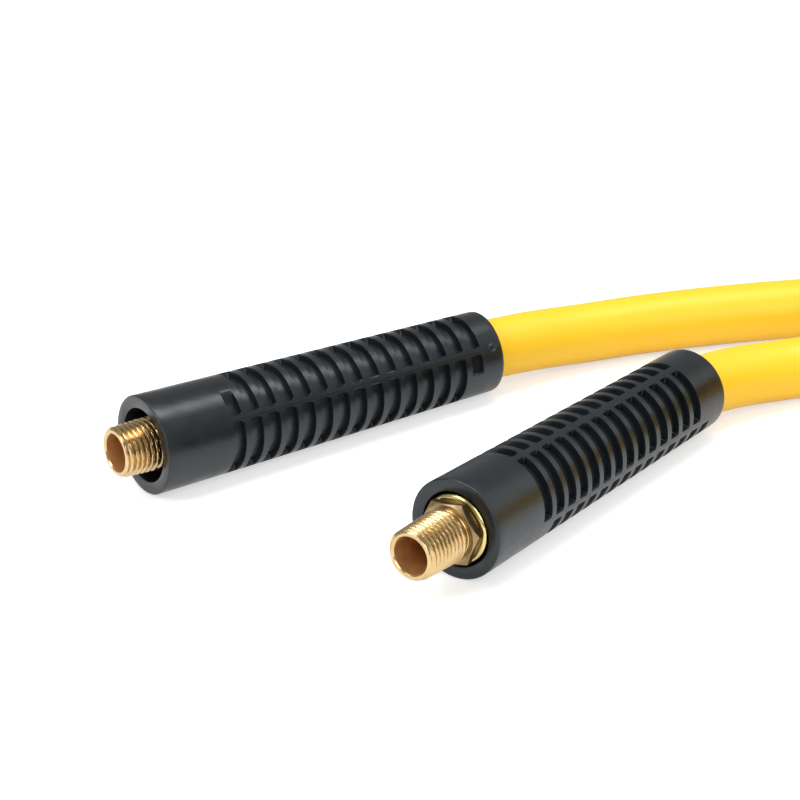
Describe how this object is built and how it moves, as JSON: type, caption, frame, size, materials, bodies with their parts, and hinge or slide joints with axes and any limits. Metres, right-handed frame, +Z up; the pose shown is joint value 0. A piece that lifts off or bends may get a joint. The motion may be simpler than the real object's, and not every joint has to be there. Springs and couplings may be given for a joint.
{
  "type": "air_hose_assembly",
  "caption": "Air hose in a yellow cover, its length wound into a tied coil, with a brass tapered male thread and a black ribbed bend restrictor at each end.",
  "frame": {"origin": "on the table under the middle of the two fitting ends, coil left out", "axes": "+Z up from the table; +X from the noses towards the coil; +Y to the left of that"},
  "size_m": [0.4416, 0.2392, 0.0666],
  "materials": {
    "brass": "satin",
    "ferrule": "polished",
    "liner": "matte",
    "braid": "matte",
    "cover": "satin",
    "restrictor": "satin",
    "tie": "matte"
  },
  "bodies": {
    "hose": {"male_insert_a": "brass", "male_insert_b": "brass", "crimp_ferrule_a": "ferrule", "crimp_ferrule_b": "ferrule", "hose_liner_a": "liner", "hose_liner_b": "liner", "hose_braid_a": "braid", "hose_braid_b": "braid", "hose_cover_a": "cover", "hose_cover_b": "cover", "hose_lead_a": "cover", "hose_lead_b": "cover", "hose_coil": "cover", "coil_tie_1": "tie", "coil_tie_2": "tie", "coil_tie_3": "tie"},
    "restrictor_a": {"bend_restrictor_a": "restrictor"},
    "restrictor_b": {"bend_restrictor_b": "restrictor"}
  },
  "joints": [
    {"name": "restrictor_a_slide", "type": "slide", "parent": "hose", "child": "restrictor_a", "axis": [0.9757, 0.2181, -0.0202], "range_m": [0, 0.01]},
    {"name": "restrictor_b_slide", "type": "slide", "parent": "hose", "child": "restrictor_b", "axis": [0.8423, 0.5387, -0.0202], "range_m": [-0.01, 0]}
  ]
}
